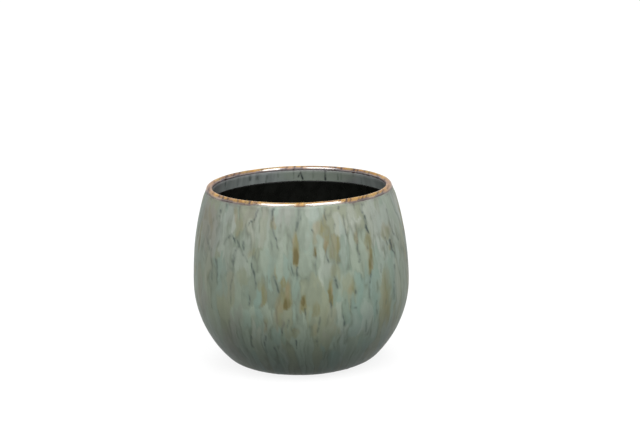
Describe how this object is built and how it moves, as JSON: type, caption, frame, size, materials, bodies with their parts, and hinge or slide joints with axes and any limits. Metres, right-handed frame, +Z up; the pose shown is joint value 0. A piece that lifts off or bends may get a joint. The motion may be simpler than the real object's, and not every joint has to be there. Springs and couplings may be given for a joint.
{
  "type": "cachepot",
  "caption": "Round-bellied glazed stoneware cachepot with a narrowed mouth, tapering to a rounded foot, that holds and hides a nursery pot and keeps its water in.",
  "frame": {"origin": "on the surface that the pot stands on, under the pot's axis", "axes": "+Z up along the pot's axis, -Y towards the camera of the picture"},
  "size_m": [0.18, 0.18, 0.15],
  "materials": {
    "fired_clay": "bare fired stoneware, matt and slightly gritty",
    "amber_glaze": "gloss, amber to brown, speckled, seen on the lip",
    "reactive_glaze": "gloss, streaked grey, celadon and blue-green with ochre spots and dark veins",
    "collar_glaze": "gloss, blue-grey with dark upright streaks",
    "black_glaze": "high gloss black",
    "felt": "dark felt"
  },
  "bodies": {
    "root": {"stoneware_body": "fired_clay", "base_glaze": "amber_glaze", "outer_top_glaze": "reactive_glaze", "collar_top_glaze": "collar_glaze", "liner_glaze": "black_glaze", "felt_pad_1": "felt", "felt_pad_2": "felt", "felt_pad_3": "felt", "felt_pad_4": "felt"}
  },
  "joints": []
}
